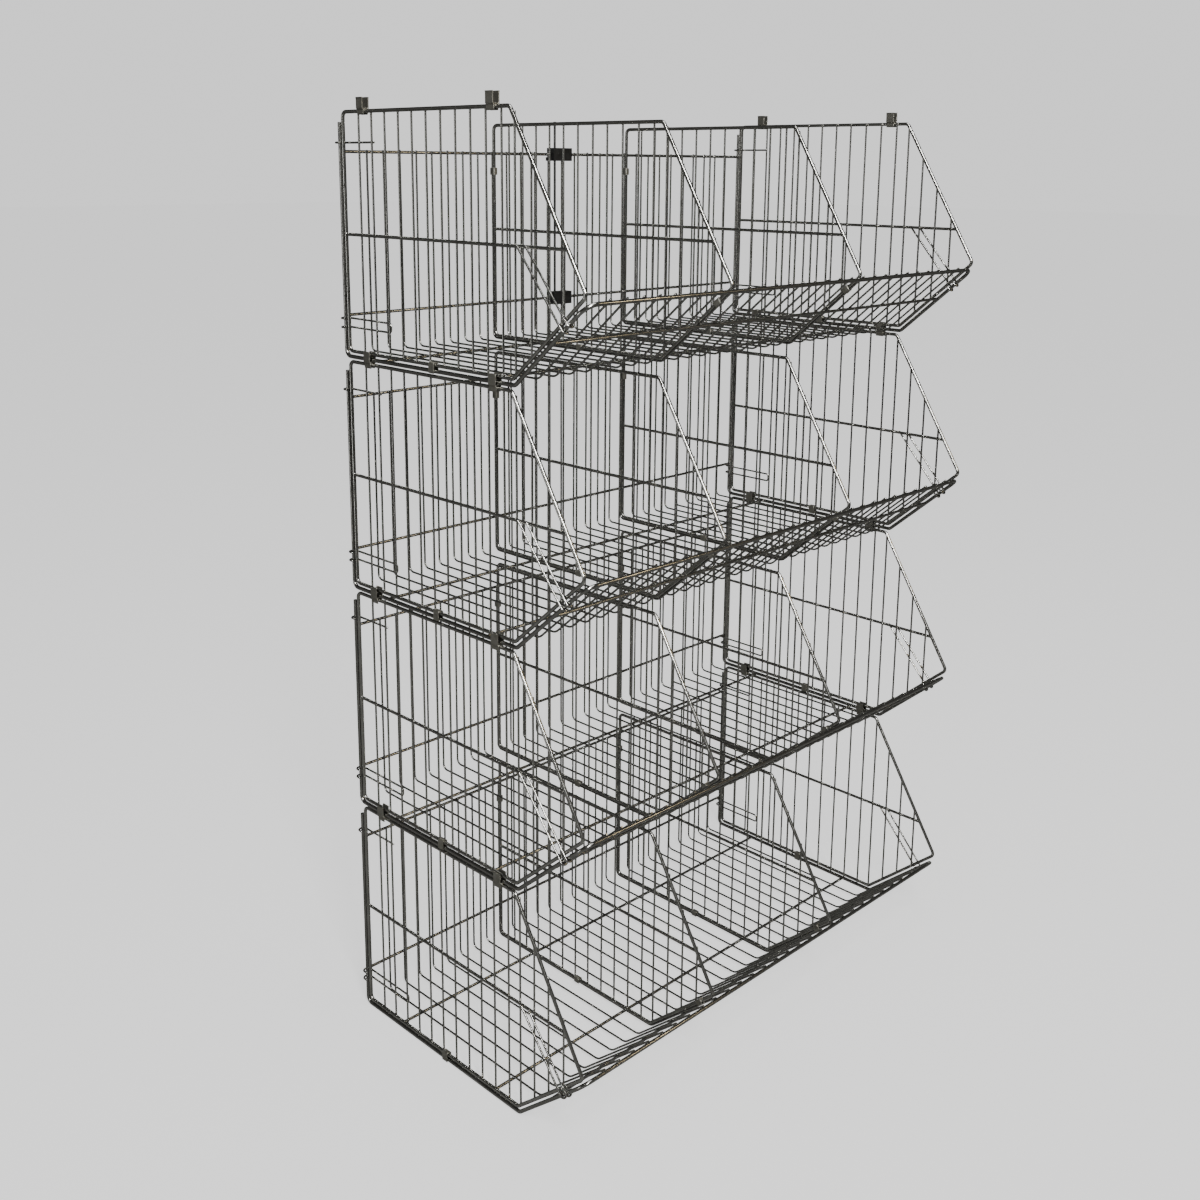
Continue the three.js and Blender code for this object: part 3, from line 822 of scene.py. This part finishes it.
def stack_clip(shell, along, depth):
    """Walls that clasp the panel's top wire and, above a web, take the next tier's frame wire."""
    origin = at(along, depth, PANEL_HEIGHT)
    grip = PANEL_WIRE / 2 + SHEET / 2
    wall = STACK_CLIP_INNER + SHEET / 2
    web = STACK_CLIP_FLOOR - SHEET / 2
    tuck, tuck_height = STACK_CLIP_TUCK
    step_down, step_up = STACK_CLIP_STEP
    flare, flare_height = STACK_CLIP_FLARE
    profile = [
        (grip - tuck, -STACK_CLIP_SKIRT),
        (grip, tuck_height - STACK_CLIP_SKIRT),
        (grip, web - step_down),
        (wall, web + step_up),
        (wall, STACK_CLIP_TOP - flare_height),
        (wall + flare, STACK_CLIP_TOP),
    ]
    for side in (-1, 1):
        line = bend(flat([(side * x, y) for x, y in profile]), STACK_CLIP_BENDS, steps=4)
        shell.strip(line, STACK_CLIP_WIDTH, origin, ALONG, UP)
    across = straight(Vector((-wall, web, 0)), Vector((wall, web, 0)))
    shell.strip(across, STACK_CLIP_WIDTH - STACK_CLIP_WEB_INSET, origin, ALONG, UP)


def clip_pieces(tier):
    for end, (along, _) in ENDS.items():
        for side, depth in STACK_CLIP_DEPTHS.items():
            name = f"tier{tier}_stack_clip_{end}_{side}"
            shell = Shell()
            stack_clip(shell, along, depth)
            shell.piece(f"{name}_sheet", tier, f"tier{tier}", "sheet_clip", SHEET_ZINC, name)
        name = f"tier{tier}_floor_clip_{end}"
        shell = Shell()
        line = saddle(TRAY_WIRE / 2, FLOOR_CLIP_FOOT, FLOOR_CLIP_CURL)
        shell.strip(line, FLOOR_CLIP_WIDTH, at(along, FLOOR_CLIP_DEPTH, 0), ALONG, UP)
        shell.piece(f"{name}_sheet", tier, f"tier{tier}", "sheet_clip", SHEET_ZINC, name)


# Sign rod


def rod_pieces():
    """The rod and the upper clip's lug. The clips themselves are the CAD nodes, with their edges rounded."""
    top_tier = TIERS[-1]
    rod = Shell()
    bottom, top = (at(ROD_ALONG, ROD_DEPTH, height) for height in (ROD_BOTTOM, ROD_TOP))
    rod.tube(straight(bottom, top), ROD_WIRE, ALONG)
    rod.piece("sign_rod_bar", top_tier, "rod", "rod", PAINT, "sign_rod")
    lug = Shell()
    lug.strip(flat(LUG_LINE), LUG_WIDTH, at(*LUG_PLACE), ALONG, FORWARD, LUG_THICKNESS)
    lug.piece("rod_clip_upper_lug", top_tier, f"tier{top_tier}", "rod_clip", PLASTIC)
    for name in ("rod_clip_upper", "rod_clip_lower"):
        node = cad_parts[name]
        rounding = node.modifiers.new("rounded_edges", "BEVEL")
        rounding.width = ROD_CLIP_ROUNDING * MM
        rounding.segments = 2
        rounding.limit_method = "ANGLE"
        rounding.angle_limit = math.radians(40)
        rounding.harden_normals = False
        node.data.materials.clear()
        node.data.materials.append(PLASTIC)


# Studio

BACKDROP = 1.1  # brightness of the background to the camera
FLOOR_GLOW = 0.95 * BACKDROP
FLOOR_PALE = (0.3, 0.3, 0.3)
FLOOR_REACH = 40.0
FLOOR_GAP = 0.0006  # metres between the floor and the CAD model's lowest point
WHITE = (1, 1, 1)

# What the wires mirror: the floor, and a dim room from straight down (0) to straight up (1)
FLOOR_SHADE = (0.2, 0.2, 0.194)
ROOM_LIGHT = [(0.44, 0.2), (0.54, 0.24), (0.66, 0.07), (1.0, 0.09)]
ROOM_TINT = (1, 1, 0.96)

# Camera: lens in millimetres, place in metres, and yaw, pitch and roll in degrees
CAMERA_LENS = 40.618
CAMERA_SENSOR = 36
CAMERA_SHIFT = -0.115
CAMERA_PLACE = (-1.6003, -1.4394, 1.3678)
CAMERA_TURN = (44.834, -12.395, 0.415)


def studio_floor():
    mesh = bpy.data.meshes.new("studio_floor")
    reach = FLOOR_REACH
    corners = [(-reach, -reach, 0), (reach, -reach, 0), (reach, reach, 0), (-reach, reach, 0)]
    mesh.from_pydata(corners, [], [(0, 1, 2, 3)])
    floor = bpy.data.objects.new("studio_floor", mesh)
    bpy.context.scene.collection.objects.link(floor)
    floor.location.z = cad_low.z - FLOOR_GAP
    material = bpy.data.materials.new("studio_floor")
    graph = Graph(material, "ShaderNodeOutputMaterial")
    lifted = graph.node("ShaderNodeAddShader")
    graph.link(graph.plain("ShaderNodeBsdfDiffuse", FLOOR_PALE), lifted.inputs[0])
    graph.link(graph.plain("ShaderNodeEmission", WHITE, FLOOR_GLOW), lifted.inputs[1])
    graph.camera_only(lifted.outputs["Shader"], graph.plain("ShaderNodeBsdfDiffuse", FLOOR_SHADE))
    mesh.materials.append(material)


def studio_world():
    """White to the camera; to the wires a dim room, lightest round the horizon."""
    world = bpy.data.worlds.new("studio_world")
    bpy.context.scene.world = world
    graph = Graph(world, "ShaderNodeOutputWorld")
    place = graph.node("ShaderNodeTexCoord")
    split = graph.node("ShaderNodeSeparateXYZ")
    height = graph.node("ShaderNodeMapRange")
    height.inputs["From Min"].default_value = -1
    graph.link(place.outputs["Generated"], split.inputs["Vector"])
    graph.link(split.outputs["Z"], height.inputs["Value"])
    stops = [(place_up, tuple(tone * part for part in ROOM_TINT)) for place_up, tone in ROOM_LIGHT]
    room = graph.node("ShaderNodeBackground")
    graph.link(graph.ramp(height.outputs["Result"], stops), room.inputs["Color"])
    graph.camera_only(graph.plain("ShaderNodeBackground", WHITE, BACKDROP), room.outputs["Background"])


def soft_light(name, place, target, size, power, colour=WHITE):
    light = bpy.data.lights.new(name, "AREA")
    light.shape = "RECTANGLE"
    light.size, light.size_y = size
    light.energy = power
    light.color = colour
    lamp = bpy.data.objects.new(name, light)
    bpy.context.scene.collection.objects.link(lamp)
    lamp.location = place
    lamp.rotation_mode = "QUATERNION"
    lamp.rotation_quaternion = (Vector(target) - Vector(place)).to_track_quat("-Z", "Y")


def studio_lights():
    """The key is a tall strip high up, so that it shines in the sloping wires and not in the upright ones."""
    soft_light("key", place=(-1.8, -2.6, 3.7), target=(0, 0, 3.4), size=(0.6, 2.9), power=330)
    warm = (1.0, 0.8, 0.5)
    soft_light("warm_fill", place=(1.6, -2.2, 2.2), target=(0, 0, 0.8), size=(0.3, 0.4), power=6, colour=warm)
    soft_light("top", place=(-0.2, -0.6, 4.4), target=(0, 0, 0.7), size=(1.6, 1.6), power=60)
    soft_light("left_strip", place=(-3.2, 0.7, 0.8), target=(-0.2, 0, 0.8), size=(0.5, 1.5), power=11)


def camera():
    """At the front left, level with the top tier and looking slightly down."""
    data = bpy.data.cameras.new("camera")
    eye = bpy.data.objects.new("camera", data)
    bpy.context.scene.collection.objects.link(eye)
    data.sensor_width = CAMERA_SENSOR
    data.lens = CAMERA_LENS
    data.shift_y = CAMERA_SHIFT
    data.clip_end = 100
    data.dof.use_dof = False
    yaw, pitch, roll = (math.radians(angle) for angle in CAMERA_TURN)
    ahead = Vector((math.sin(yaw) * math.cos(pitch), math.cos(yaw) * math.cos(pitch), math.sin(pitch)))
    level = Vector((math.cos(yaw), -math.sin(yaw), 0))
    upright = level.cross(ahead)
    right = level * math.cos(roll) + upright * math.sin(roll)
    top = upright * math.cos(roll) - level * math.sin(roll)
    eye.rotation_mode = "QUATERNION"
    eye.rotation_quaternion = Matrix((right, top, -ahead)).transposed().to_quaternion()
    eye.location = CAMERA_PLACE
    bpy.context.scene.camera = eye


for tier in TIERS:
    tray_piece(tier)
    for end in ENDS:
        end_panel_piece(tier, end)
        divider_pieces(tier, end)
    clip_pieces(tier)
rod_pieces()
studio_floor()
studio_world()
studio_lights()
camera()
